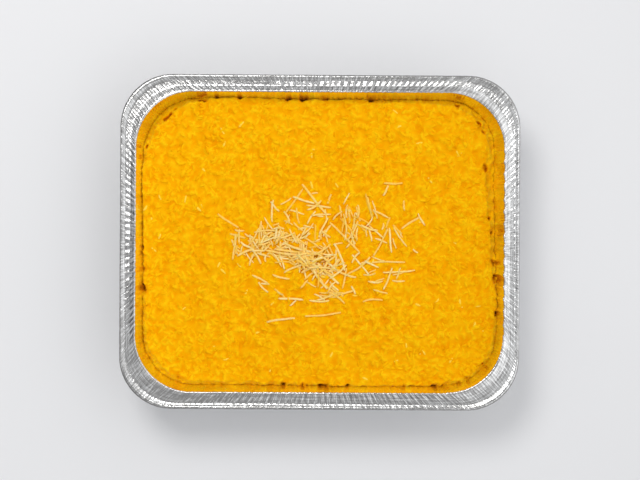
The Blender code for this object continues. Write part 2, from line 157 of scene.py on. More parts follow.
# The cheese's colours, a strip's section, and how clean of sauce the strip is at each corner of it; its sides
# also take painted orange shade, as of light bounced off the rice
CHEESE_STAINED_AND_SHADED = (1.0, 0.54, 0.04)
CHEESE_PALE = ((1.0, 0.68, 0.18), (1.0, 0.8, 0.42))
STRIP_SECTION = ((-1, -0.3), (-0.7, -1), (0.7, -1), (1, -0.3), (0.94, 0.4), (0.6, 1), (-0.6, 1), (-0.94, 0.4))
STRIP_CLEAN_AND_LIT = (0.15, 0.0, 0.0, 0.15, 0.35, 1.0, 1.0, 0.35)
CLEAN_SHARES, CLEAN_LEAST = (0.6, 0.28), 0.1
SOAK_LENGTH, SOAK_SEED = 5.0, 6.6
# How a strip varies, and how it lies: how stiff, how far it sags, and how deep in what is under it
STRIP_WIDTHS, STRIP_DEPTHS, STRIP_UNEVEN = (0.92, 1.25), (0.7, 1.05), (0.93, 1.07)
STRIP_STEP, LEAST_STEPS = 1.6, 6
STRIP_WOBBLE, STRIP_LEAN, STRIP_TWIST = 0.12, 0.12, 0.15
STRIP_STIFF, STRIP_LIMP, STRIP_SAG = 0.7, 0.3, 0.6
STRIP_SINK, STRIP_PRESSED = 0.15, 0.35

# The cheese shreds, laid as in the part, and finer ones strewn between them
SHRED_WIDTH, SHRED_THICKNESS = 1.5, 0.9
SHRED_LENGTHS = (8.0, 19.0)
SHRED_BEND = 1.3
STRAIGHT_BELOW = 18.0
LAY_TRIES = 60
CROSS_STEPS = 16
# Centre x and y, length and heading in degrees of the shreds that stand out singly
LONE_SHREDS = (
    (-5, 35, 30, -51), (-1, 29, 20, -5), (-38, 25, 18, 88), (-74, 17, 20, -33), (-69, -4, 21, 83),
    (1, 22, 16, 4), (3, 13, 15, 63), (59, 48, 15, 0), (53, 42, 9, 65), (68, 30, 8, -87),
    (40, 30, 20, -72), (49, 23, 14, -25), (23, 11, 21, -52), (20, 4, 34, -45), (73, 16, 17, 33),
    (82, 19, 11, -59), (57, 2, 20, -85), (65, 5, 19, -56), (53, -16, 32, 1), (64, -23, 26, 4),
    (55, -29, 19, 69), (43, -47, 16, 4), (20, -29, 17, 79), (16, -12, 23, -68), (33, -18, 21, -50),
    (10, -40, 22, -41), (-23, -46, 20, -2), (3, -58, 29, 6), (-31, -63, 23, 8), (-31, -28, 14, -13),
    (-28, -9, 32, -8), (-17, -7, 37, -4), (-18, -4, 24, -18), (-4, -24, 23, -50), (0, -28, 23, -56),
    (7, -25, 24, -44), (-48, 6, 15, 90), (-44, 8, 18, 4), (-21, 33, 25, 54), (40, 12, 14, -18),
    (49, 0, 25, 63), (45, -31, 12, 0), (0, -47, 16, 0), (-48, -30, 14, -27),
)
# Centre x and y, half length, half width, tilt, heading, spread of headings and number of shreds in a patch
PATCHES = (
    (-28, -7, 34, 13, -17, -10, 60, 17),
    (-2, -17, 20, 13, 0, 0, 90, 12),
    (46, 13, 24, 17, 0, -70, 55, 8),
    (24, 21, 8, 9, 0, 90, 25, 5),
    (-12, 30, 24, 13, 0, 0, 90, 3),
    (-16, -39, 38, 10, 0, 0, 40, 6),
    (45, -27, 25, 12, 0, 20, 60, 4),
    (-61, -3, 13, 13, 0, 0, 90, 4),
    (4, -5, 76, 46, 0, 0, 90, 3),
)
# Patches of finer shreds, laid under and between the part's own
FINE_PATCHES = (
    (-30, -5, 27, 13, -15, -12, 85, 76),
    (-5, -13, 23, 14, -20, 0, 90, 56),
    (-29, 9, 25, 7, 0, 0, 90, 26),
    (2, 4, 30, 7, 0, 0, 90, 16),
    (46, 13, 24, 17, 0, -70, 55, 12),
    (22, 21, 10, 10, 0, 90, 30, 8),
    (-14, 30, 26, 14, 0, 0, 90, 9),
    (-18, -38, 38, 11, 0, 5, 60, 9),
    (45, -25, 25, 12, 0, 20, 60, 8),
    (-58, 0, 13, 13, 0, 0, 90, 14),
    (4, -5, 76, 46, 0, 0, 90, 10),
)
FINE_LENGTHS, FINE_BREADTH, FINE_BEND = (5.0, 14.0), 0.88, 0.5
SHRED_SEED = 61

# The studio: the sky's strength by height, near the horizon by side, and seen by the camera
SKY_STOPS = ((0.5, 0.86), (1.0, 0.64), (0.67, 0.92), (0.8, 1.2), (0.92, 0.72))
LOW_LEAN, LOW_STRENGTH, LOW_BLEND = 0.4, 0.52, (0.42, 0.56)
SIDE_REACH, SIDE_STRENGTHS = 0.35, (0.68, 1.15)
SPREAD_GAINS = (0.2, -0.25, 0.0)
SEEN_STRENGTH = 0.8
LAMP_PLACE, LAMP_SIZE, LAMP_WATTS = (-0.4, 0.72, 1.48), 0.65, 9.6
TABLE_REACH = 6.0

# The camera: its lens and height over the rim, and the tray's length, shift and turn in the photo
CAMERA_LENS, CAMERA_RISE = 84.0, 1193.0
RIM_PIXELS, PIXEL_SHIFT, PHOTO_TURN = 398.3, (0.3, 2.3), 0.35


def material(name):
    """A new node material with its tree and its Principled shader."""
    made = bpy.data.materials.new(name)
    made.use_nodes = True
    return made, made.node_tree, made.node_tree.nodes["Principled BSDF"]


def plug(tree, node, links):
    """Sets or links a node's inputs, by name or number."""
    for socket, source in links:
        if isinstance(source, bpy.types.NodeSocket):
            tree.links.new(source, node.inputs[socket])
        else:
            node.inputs[socket].default_value = source


def add_node(tree, kind, links=(), **settings):
    """A shader node with its settings, and its inputs set or linked."""
    node = tree.nodes.new("ShaderNode" + kind)
    for key, value in settings.items():
        setattr(node, key, value)
    plug(tree, node, links)
    return node


def noise_node(tree, place, scale, detail=2.0, roughness=0.5):
    """Fractal noise whose features are about 1 / scale metres apart."""
    links = ((0, place), ("Scale", scale), ("Detail", detail), ("Roughness", roughness))
    return add_node(tree, "TexNoise", links).outputs[0]


def mix_values(tree, share, first, second):
    """A value between two, by a share."""
    return add_node(tree, "Mix", ((0, share), (2, first), (3, second)), data_type="FLOAT").outputs[0]


def mix_colours(tree, share, first, second):
    """A colour between two, each a colour or a socket, by a share."""
    first, second = (c if isinstance(c, bpy.types.NodeSocket) else (*c, 1) for c in (first, second))
    return add_node(tree, "Mix", ((0, share), (6, first), (7, second)), data_type="RGBA").outputs[2]


def place_of(tree):
    """The object's own coordinates, in metres."""
    return add_node(tree, "TexCoord").outputs["Object"]


def tone_of(tree):
    """The tone given to each point of the mesh."""
    return add_node(tree, "Attribute", attribute_name="tone").outputs["Fac"]


def spread_share(tree, value, low, high):
    """A value's share of the way from low to high, held to 0 and 1."""
    return add_node(tree, "MapRange", ((0, value), (1, low), (2, high))).outputs[0]


def bump_of(tree, height, strength, distance):
    """Normals bent by a fine relief."""
    links = (("Height", height), ("Strength", strength), ("Distance", distance))
    return add_node(tree, "Bump", links).outputs[0]


def foil_material():
    """Aluminium foil, scratched and darkened by painted shade on the rim, tinted warm inside by a film of
    sauce and a painted reflection of the food, and small dents.
    """
    made, tree, shader = material("foil")
    place = place_of(tree)
    shine = tone_of(tree)
    unrolled = add_node(tree, "Attribute", attribute_name="unrolled").outputs["Vector"]
    # Scratches run across the rim, and a few thin lines run along it
    strokes = add_node(tree, "Mapping", ((0, unrolled), (3, (1000.0, 130.0, 130.0)))).outputs[0]
    lines = add_node(tree, "Mapping", ((0, unrolled), (3, (45.0, 1100.0, 1100.0)))).outputs[0]
    across = noise_node(tree, strokes, 1.0, 3, 0.65)
    along = noise_node(tree, lines, 1.0, 2)
    both = mix_values(tree, 0.35, across, along)
    # The lower the tone, the duller the rim: scratches together with painted shade
    worn_and_shaded = add_node(tree, "Math", ((0, both), (1, shine)), operation="ADD").outputs[0]
    rim = mix_colours(tree, spread_share(tree, worn_and_shaded, 0.86, 1.06), FOIL_DULL, FOIL_BRIGHT)
    inside = spread_share(tree, shine, 0.8, 1.0)
    gloss = add_node(tree, "MapRange", ((0, noise_node(tree, place, 420, 2)), (3, 0.1), (4, 0.24)))
    dents = mix_values(tree, 0.6, noise_node(tree, place, 780, 3), across)
    plug(tree, shader, (
        ("Base Color", mix_colours(tree, inside, rim, FOIL_INSIDE)),
        ("Metallic", 1.0),
        ("Roughness", gloss.outputs[0]),
        ("Normal", bump_of(tree, dents, 0.6, 0.0005)),
    ))
    return made


def rice_material(name, depth, gloss):
    """Creamy saffron yellow: paler on what stands up as painted light, deeper and darker in the sauce between
    as painted shade, with painted glints and painted shade in crevices, moist.
    """
    made, tree, shader = material(name)
    place = place_of(tree)
    stands_up = tone_of(tree)
    cream = spread_share(tree, noise_node(tree, place, 110, 3), 0.25, 0.75)
    shades = [mix_colours(tree, stands_up, low, high) for low, high in (RICE_DEEP, RICE_PALE)]
    # Painted glints where the tone is highest, and painted crevice shade where it is lowest
    glint = spread_share(tree, stands_up, TONE_LIMITS[1], 1.0)
    open_to_light = spread_share(tree, stands_up, 0.0, TONE_LIMITS[0])
    tone = mix_colours(tree, glint, mix_colours(tree, cream, *shades), RICE_GLINT)
    plug(tree, shader, (
        ("Base Color", mix_colours(tree, open_to_light, RICE_CREVICE_SHADE, tone)),
        ("Roughness", 0.38),
        ("Specular IOR Level", gloss),
        ("Specular Tint", (1.0, 0.66, 0.02, 1)),
        ("Subsurface Weight", depth),
        ("Subsurface Radius", (1.0, 0.5, 0.05)),
        ("Subsurface Scale", 0.0015),
        ("Normal", bump_of(tree, noise_node(tree, place, 800, 3), 0.5, 0.0005)),
    ))
    return made


def cheese_material():
    """Pale hard cheese with a dry grainy cut, stained by the sauce where it lies in it, its sides painted with
    orange shade as of light bounced off the rice.
    """
    made, tree, shader = material("cheese")
    place = place_of(tree)
    streaks = noise_node(tree, place, 300, 3)
    pale = mix_colours(tree, spread_share(tree, streaks, 0.3, 0.7), *CHEESE_PALE)
    plug(tree, shader, (
        ("Base Color", mix_colours(tree, tone_of(tree), CHEESE_STAINED_AND_SHADED, pale)),
        ("Roughness", 0.7),
        ("Specular IOR Level", 0.0),
        ("Subsurface Weight", 0.4),
        ("Subsurface Radius", (1.0, 0.8, 0.5)),
        ("Subsurface Scale", 0.0008),
        ("Normal", bump_of(tree, noise_node(tree, place, 1500, 3), 0.4, 0.0003)),
    ))
    return made


def mesh_piece(name, points, faces, finish, slot, *nodes, tone=None, unrolled=None):
    """A smooth-shaded piece from an array of points in millimetres, which stands for CAD nodes."""
    data = bpy.data.meshes.new(name)
    data.from_pydata((np.asarray(points, float) * MM).tolist(), [], faces)
    data.shade_smooth()
    if tone is not None:
        data.attributes.new("tone", "FLOAT", "POINT").data.foreach_set("value", np.clip(tone, 0, 1))
    if unrolled is not None:
        layer = data.attributes.new("unrolled", "FLOAT_VECTOR", "POINT")
        layer.data.foreach_set("vector", (unrolled * MM).ravel())
    data.materials.append(finish)
    made = bpy.data.objects.new(name, data)
    bpy.context.scene.collection.objects.link(made)
    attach(made, "root")
    if nodes:
        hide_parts(*nodes)
    return made


def bands(row_count, count):
    """Quads that join closed rows of points, from one row to the next."""
    k = np.arange(count)
    after = (k + 1) % count
    rows = [
        np.stack((r * count + k, r * count + after, (r + 1) * count + after, (r + 1) * count + k), 1)
        for r in range(row_count - 1)
    ]
    return np.concatenate(rows).tolist()


def outline_sizes(spread):
    """Length, width and corner radius of the level outline this far out from the mouth, as in the part."""
    if spread <= 0:
        return MOUTH_LENGTH + 2 * spread, MOUTH_WIDTH + 2 * spread, MOUTH_CORNER + spread
    share = spread / RIM_BREADTH
    return (
        MOUTH_LENGTH + share * (RIM_LENGTH - MOUTH_LENGTH),
        MOUTH_WIDTH + share * (RIM_WIDTH - MOUTH_WIDTH),
        MOUTH_CORNER + share * (RIM_CORNER - MOUTH_CORNER),
    )


def outline_row(spread, places):
    """Points and outward directions round an outline, for an array of (quadrant, travel) places."""
    length, width, radius = outline_sizes(spread)
    quadrant, travel = places[:, 0].astype(int), places[:, 1]
    signs = np.array(((1, 1), (-1, 1), (-1, -1), (1, -1)))
    centres = signs * (length / 2 - radius, width / 2 - radius)
    angle = np.radians(90 * (quadrant + np.minimum(travel, 1)))
    outward = np.stack((np.cos(angle), np.sin(angle)), 1)
    along = np.maximum(travel - 1, 0)[:, None]
    centre = centres[quadrant] * (1 - along) + centres[(quadrant + 1) % 4] * along
    return centre + radius * outward, outward


def stations(corner_steps, long_steps, short_steps):
    """Quadrant and travel of each point round an outline, as in the part."""
    places = []
    for quadrant in range(4):
        side_steps = short_steps if quadrant % 2 else long_steps
        places += [(quadrant, k / corner_steps) for k in range(corner_steps)]
        places += [(quadrant, 1 + k / side_steps) for k in range(side_steps)]
    return np.array(places)


def wall_spread(height):
    """How far the wall's inner face stands in from the mouth at a height, as a spread of 0 or less."""
    return -(TRAY_HEIGHT - LIP_DROP - height) * DRAFT


def arc(centre, radius, start, end, steps):
    """Points on an arc in the section, from one angle to another in degrees."""
    angles = np.radians(np.linspace(start, end, steps))
    return [(centre[0] + radius * math.cos(a), centre[1] + radius * math.sin(a)) for a in angles]


def straight(start, end, steps):
    """Points on a straight stretch of the section, without its first."""
    return [tuple(np.add(start, np.subtract(end, start) * k / steps)) for k in range(1, steps + 1)]


def tray_section():
    """The foil's section as (spread, height), from the floor's inside over the rim to the underside."""
    top = TRAY_HEIGHT
    flange = top - FLANGE_DROP
    bend = FLOOR_BEND
    slope = math.degrees(math.atan(DRAFT))
    bend_run = bend * math.tan(math.radians((90 - slope) / 2))
    bend_centre = (wall_spread(FOIL) - bend_run, FOIL + bend)
    inside = arc(bend_centre, bend, -90, -slope, 4)
    inside += straight(inside[-1], (wall_spread(40), 40), 2)
    inside += straight(inside[-1], (wall_spread(60), 60), 8)
    inside += straight(inside[-1], (0, top - LIP_DROP), 2)
    lip = arc((LIP_RADIUS, top - LIP_RADIUS), LIP_RADIUS, 165, 55, 5)
    lip += straight(lip[-1], (SLOPE_FOOT, flange + 0.1), 6)
    rim = straight(lip[-1], (FLANGE_EDGE, flange + 0.02), 6)
    rim += arc((RIM_BREADTH - ROLL_RADIUS, top - ROLL_DROP), ROLL_RADIUS, 140, -165, 13)
    under = straight(rim[-1], (FLANGE_EDGE, flange - FOIL), 2)
    under += straight(under[-1], (5.0, flange - FOIL), 3)
    under += straight(under[-1], (1.3, top - 0.75), 3)
    across = FOIL * math.hypot(1, DRAFT)
    outside = [(across + 0.25, top - 1.0), (across, top - LIP_DROP - 0.3)]
    outside += straight(outside[-1], (wall_spread(8) + across, 8), 8)
    outside += arc(bend_centre, bend + FOIL, -slope - 4, -90, 6)
    return inside + lip + rim + under + outside


def mouth_distance(places):
    """How far round the mouth each (quadrant, travel) place lies."""
    corner = math.radians(90) * MOUTH_CORNER
    sides = np.array((MOUTH_LENGTH, MOUTH_WIDTH, MOUTH_LENGTH, MOUTH_WIDTH)) - 2 * MOUTH_CORNER
    starts = np.concatenate(([0], np.cumsum(corner + sides)))
    quadrant, travel = places[:, 0].astype(int), places[:, 1]
    return starts[quadrant] + np.minimum(travel, 1) * corner + np.maximum(travel - 1, 0) * sides[quadrant]


def make_creases():
    """Folds round the mouth as distances and depths: pleats at the corners, a crinkle along the sides."""
    draw = random.Random(CREASE_SEED)
    even = stations(100, 100, 100)
    lengths = mouth_distance(even)
    knots, values = [0.0], [0.0]
    sign = 1
    total = 2 * (MOUTH_LENGTH + MOUTH_WIDTH) - 8 * MOUTH_CORNER + math.radians(360) * MOUTH_CORNER
    while knots[-1] < total - PLEAT_GAPS[1]:
        here = np.searchsorted(lengths, knots[-1]) % len(even)
        gaps, depth = (PLEAT_GAPS, PLEAT_DEPTH) if even[here, 1] <= 1 else (CRINKLE_GAPS, CRINKLE_DEPTH)
        knots.append(knots[-1] + draw.uniform(*gaps))
        values.append(sign * depth * draw.uniform(*CREASE_SHARES))
        sign = -sign
    return knots + [total], values + [0.0]


def crease_row(creases, places):
    """The folds' depth at each place round the mouth."""
    return np.interp(mouth_distance(places), *creases)


def flute_row(places):
    """How far the flutes push the right-hand side's wall out at each place round the mouth."""
    along = np.clip(places[:, 1] - 1, 0, 1)
    waves = round((MOUTH_WIDTH - 2 * MOUTH_CORNER) / FLUTE_LENGTH)
    row = FLUTE_DEPTH * (2 * np.abs(np.sin(math.pi * waves * along)) - FLUTE_MIDDLE)
    return np.where(places[:, 0] == 3, row, 0)


def crease_sideways(height):
    """The share of its depth that a fold has in the wall at a height: none at the floor, less at the lip."""
    return np.interp(height, *WALL_FOLDS)


def noise_at(points, length, seed):
    """Noise from -1 to 1 at each point, with features of a length."""
    return np.array([noise.noise(Vector((x / length, y / length, z / length + seed))) for x, y, z in points])


def layered_noise(points, layers):
    """The sum of layers of noise, each with a depth, a length and a seed."""
    return sum(depth * noise_at(points, length, seed) for depth, length, seed in layers)


def foil_tone(spread, height, is_inside):
    """The tone of one level of the tray's section."""
    if spread > LIP_BREADTH:
        # Painted shade: the roll's outer flank is dull all over, and the rim and lip duller than the rest
        return FLANK_SHADE_TONE if spread > RIM_BREADTH - FLANK_BREADTH else RIM_TONE
    if height > TRAY_HEIGHT - LIP_DEPTH:
        return LIP_TONE
    return INSIDE_TONE if is_inside else OUTSIDE_TONE


def make_tray(creases, finish):
    """The foil tray: pleated at its corners, crinkled along its sides, with a crumpled rolled edge."""
    places = stations(CORNER_STEPS, LONG_STEPS, SHORT_STEPS)
    count = len(places)
    lengths = mouth_distance(places)
    folds = crease_row(creases, places)
    flutes = flute_row(places)
    section = tray_section()
    widest = max(range(len(section)), key=lambda k: section[k][0])
    rows, tones, unrolled = [], [], []
    for number, (spread, height) in enumerate(section):
        points, outward = outline_row(spread, places)
        # Painted light: the rim is lighter on the right and darker at the front and back
        side_light = RIM_SIDE_LIGHT[0] * np.maximum(outward[:, 0], 0) - RIM_SIDE_LIGHT[1] * np.abs(outward[:, 1])
        tone = foil_tone(spread, height, number < widest)
        tones.append(tone + (side_light if spread > LIP_BREADTH else 0 * side_light))
        unrolled.append(np.column_stack((lengths, np.full(count, spread), np.full(count, height))))
        on_rim = spread > RIM_START and height > TRAY_HEIGHT - RIM_DEPTH
        sideways = np.interp(spread, *LIP_FOLDS) if on_rim else crease_sideways(height)
        upright = np.interp(spread, *RIM_FOLDS) if on_rim else 0
        fluted = np.interp(spread, *LIP_FLUTES) if on_rim else crease_sideways(height)
        points = points + outward * (folds * sideways + flutes * fluted)[:, None]
        row = np.column_stack((points, height + folds * upright))
        crumple = CRUMPLE_DEPTH * np.interp(spread, *CRUMPLE_SHARES)
        dents = layered_noise(row, DENTS)
        # Dents push the wall and the roll in or out, and the rim up or down
        if not on_rim or spread > RIM_BREADTH - ROLL_BREADTH:
            row[:, :2] += outward * (np.minimum(dents, DENT_OUT) * crumple)[:, None]
        if on_rim:
            row[:, 2] += np.minimum(dents, DENT_UP) * crumple
        rows.append(row)
    faces = bands(len(rows), count)
    faces.append(list(range(count))[::-1])
    faces.append([(len(rows) - 1) * count + k for k in range(count)])
    return mesh_piece(
        "tray_foil", np.concatenate(rows), faces, finish, "foil", "foil_tray",
        tone=np.concatenate(tones), unrolled=np.concatenate(unrolled),
    )


def food_height(x, y):
    """The food's top, without its grains, as in the part."""
    crown = FOOD_CROWN * (1 - (2 * x / MOUTH_LENGTH) ** 2) * (1 - (2 * y / MOUTH_WIDTH) ** 2)
    swell = SWELL_HEIGHT * noise.noise(Vector((x / SWELL_LENGTH, y / SWELL_LENGTH, 1.3)))
    lump = LUMP_HEIGHT * noise.noise(Vector((x / LUMP_LENGTH, y / LUMP_LENGTH, 7.7)))
    return FOOD_LEVEL + crown + swell + lump


def mouth_place(x, y):
    """Arrays of how far in from the mouth each point stands, and its place round it, four to a quadrant."""
    half_x, half_y = MOUTH_LENGTH / 2 - MOUTH_CORNER, MOUTH_WIDTH / 2 - MOUTH_CORNER
    over_x, over_y = np.abs(x) - half_x, np.abs(y) - half_y
    corner = (over_x > 0) & (over_y > 0)
    inset = MOUTH_CORNER - np.where(corner, np.hypot(over_x, over_y), np.maximum(over_x, over_y))
    quadrant = np.where(y >= 0, np.where(x >= 0, 0, 1), np.where(x < 0, 2, 3))
    turn = np.degrees(np.arctan2(np.maximum(over_y, 0), np.maximum(over_x, 0))) / 90
    share = np.where(quadrant % 2 == 0, turn, 1 - turn)
    corner_slot = 4 * quadrant + share - 0.5
    flat = over_y > over_x
    side = np.where(flat, np.where(y >= 0, 0, 2), np.where(x < 0, 1, 3))
    along = np.select(
        [side == 0, side == 1, side == 2],
        [0.5 - x / (2 * half_x), 0.5 - y / (2 * half_y), 0.5 + x / (2 * half_x)],
        0.5 + y / (2 * half_y),
    )
    side_slot = 4 * side + 0.5 + 3 * np.clip(along, 0, 1)
    return inset, np.where(corner, corner_slot, side_slot)


def edge_inset(slot, x, y):
    """How far in from the mouth the food's top edge stands at each place, as in the part."""
    low = np.floor(slot)
    share = slot - low
    share = share * share * (3 - 2 * share)
    insets = np.array(EDGE_INSETS)
    low = low.astype(int)
    even = insets[low % 16] * (1 - share) + insets[(low + 1) % 16] * share
    places = np.column_stack((x, y, np.zeros_like(x)))
    ragged = EDGE_RAGGED * noise_at(places, EDGE_RAGGED_LENGTH, 3.1)
    return even + ragged + layered_noise(places, EDGE_FINE)


class FoodMap:
    """Heights of the food's surface on an even grid, with what has been laid on it so far."""

    def __init__(self):
        self.xs = np.arange(-MOUTH_LENGTH / 2, MOUTH_LENGTH / 2 + MAP_STEP, MAP_STEP)
        self.ys = np.arange(-MOUTH_WIDTH / 2, MOUTH_WIDTH / 2 + MAP_STEP, MAP_STEP)
        self.heights = self.coarse(food_height, COARSE_STEP)
        for depth, length, seed in FINE_LUMPS:
            lumps = self.coarse(lambda x, y: noise.noise(Vector((x / length, y / length, seed))), length / 6)
            self.heights += depth * lumps

    def coarse(self, function, step):
        """A function of x and y on the grid, worked out on a coarser grid and filled in between."""
        xs = np.arange(self.xs[0] - step, self.xs[-1] + 2 * step, step)
        ys = np.arange(self.ys[0] - step, self.ys[-1] + 2 * step, step)
        values = np.array([[function(x, y) for x in xs] for y in ys])
        wide = np.array([np.interp(self.xs, xs, row) for row in values])
        return np.array([np.interp(self.ys, ys, column) for column in wide.T]).T

    def find_hollows(self):
        """Notes how far each place lies below what is round it."""
        even = self.heights.copy()
        for _ in range(TONE_PASSES):
            even = soften(even, 1.0)
        self.below = even - self.heights

    def at(self, x, y, values=None):
        """Heights, or other values of the grid, at arrays of places between its points."""
        i = np.clip((np.asarray(x) - self.xs[0]) / MAP_STEP, 0, len(self.xs) - 1.001)
        j = np.clip((np.asarray(y) - self.ys[0]) / MAP_STEP, 0, len(self.ys) - 1.001)
        i0, j0 = i.astype(int), j.astype(int)
        fi, fj = i - i0, j - j0
        h = self.heights if values is None else values
        low = h[j0, i0] * (1 - fi) + h[j0, i0 + 1] * fi
        high = h[j0 + 1, i0] * (1 - fi) + h[j0 + 1, i0 + 1] * fi
        return low * (1 - fj) + high * fj

    def window(self, x, y, reach):
        """Slices of the grid round a place, and the places of its points from there."""
        i0 = max(int((x - reach - self.xs[0]) / MAP_STEP), 0)
        j0 = max(int((y - reach - self.ys[0]) / MAP_STEP), 0)
        i1 = min(int((x + reach - self.xs[0]) / MAP_STEP) + 2, len(self.xs))
        j1 = min(int((y + reach - self.ys[0]) / MAP_STEP) + 2, len(self.ys))
        across, along = np.meshgrid(self.xs[i0:i1] - x, self.ys[j0:j1] - y)
        return (slice(j0, j1), slice(i0, i1)), across, along


def press_grains(food):
    """Raises grain shapes on the food's surface and returns them, the last raised first."""
    draw = random.Random(FOOD_SEED)
    base = food.heights.copy()
    grains = []
    for _ in range(PRESSED_GRAINS):
        x = draw.uniform(-MOUTH_LENGTH / 2 + GRAIN_MARGIN, MOUTH_LENGTH / 2 - GRAIN_MARGIN)
        y = draw.uniform(-MOUTH_WIDTH / 2 + GRAIN_MARGIN, MOUTH_WIDTH / 2 - GRAIN_MARGIN)
        heading = draw.uniform(0, math.pi)
        half = GRAIN_LENGTH / 2 * draw.uniform(*GRAIN_LENGTHS)
        breadth = GRAIN_WIDTH / 2 * draw.uniform(*GRAIN_WIDTHS)
        lift = draw.gauss(*GRAIN_LIFT)
        tilt = draw.gauss(*GRAIN_TILT)
        place, across, along = food.window(x, y, half)
        u = across * math.cos(heading) + along * math.sin(heading)
        v = -across * math.sin(heading) + along * math.cos(heading)
        inside = 1 - (u / half) ** 2 - (v / breadth) ** 2
        rise = lift + tilt * u + breadth * np.sqrt(np.maximum(inside, 0))
        here = food.heights[place]
        target = base[place] + rise
        higher = (inside > 0) & (target > here)
        here[higher] = target[higher]
        grains.append((x, y, heading, half, breadth))
    return grains[::-1]


def soften(heights, share):
    """Blurs the map a little, as sauce over grains does."""
    padded = np.pad(heights, 1, mode="edge")
    sides = padded[:-2, 1:-1] + padded[2:, 1:-1] + padded[1:-1, :-2] + padded[1:-1, 2:]
    diagonals = padded[:-2, :-2] + padded[2:, 2:] + padded[2:, :-2] + padded[:-2, 2:]
    blurred = (4 * heights + 2 * sides + diagonals) / 16
    return heights * (1 - share) + blurred * share


def cut_bluff(food):
    """Lowers the map outside the food's top edge, down a leaning bluff to the wall, and paints light on the
    bluff and shade in its notches.
    """
    x, y = np.meshgrid(food.xs, food.ys)
    flat_x, flat_y = x.ravel(), y.ravel()
    in_from_mouth, slot = mouth_place(flat_x, flat_y)
    near = in_from_mouth < BLUFF_BAND
    drop = np.zeros_like(flat_x)
    inset = edge_inset(slot[near], flat_x[near], flat_y[near])
    outside = (inset - in_from_mouth[near]) / BLUFF_LEAN
    rounded = np.maximum(outside + BLUFF_SHOULDER, 0) ** 2 / (4 * BLUFF_SHOULDER)
    drop[near] = np.where(outside > BLUFF_SHOULDER, outside, rounded)
    # The bluff's foot runs out towards the wall, and small deep notches part it from the foil here and there
    drop = BLUFF_FOOT * (1 - np.exp(-drop / BLUFF_FOOT))
    places = np.column_stack((flat_x[near], flat_y[near], np.zeros(near.sum())))
    apart = np.clip((noise_at(places, NOTCH_LENGTH, 2.6) - NOTCH_ABOVE) / NOTCH_FADE, 0, 1)
    from_notch = (in_from_mouth[near] - inset + NOTCH_OUT) / NOTCH_BREADTH
    notch = np.zeros_like(flat_x)
    notch[near] = NOTCH_DEPTH * apart * np.exp(-(from_notch**2))
    food.heights -= (drop + notch).reshape(x.shape)
    # Painted shade deepens the notches' tone, and painted light lifts the bluff's
    food.below += (notch - BLUFF_PAINTED_LIGHT * np.clip(drop, 0, 1)).reshape(x.shape)


def contact_level(folds, points, food):
    """Spread and height at which the food's surface meets the creased wall, at each place."""
    depths = np.arange(*CONTACT_DEPTHS)
    best = np.full(len(folds), depths[-1])
    for depth in depths[::-1]:
        for_each = folds - depth * DRAFT
        x = points[0][:, 0] + points[1][:, 0] * for_each
        y = points[0][:, 1] + points[1][:, 1] * for_each
        surface = food.at(x, y)
        below = surface < TRAY_HEIGHT - LIP_DROP - depth
        best = np.where(below, best, np.minimum(best, depth))
    return folds - best * DRAFT, TRAY_HEIGHT - LIP_DROP - best


def reach_of(spread, angle):
    """How far from the tray's middle a level outline lies, in each direction."""
    row = outline_row(spread, stations(*OUTLINE_STEPS))[0]
    row_angle = np.arctan2(row[:, 1], row[:, 0])
    order = np.argsort(row_angle)
    return np.interp(angle, row_angle[order], np.hypot(row[:, 0], row[:, 1])[order], period=2 * math.pi)


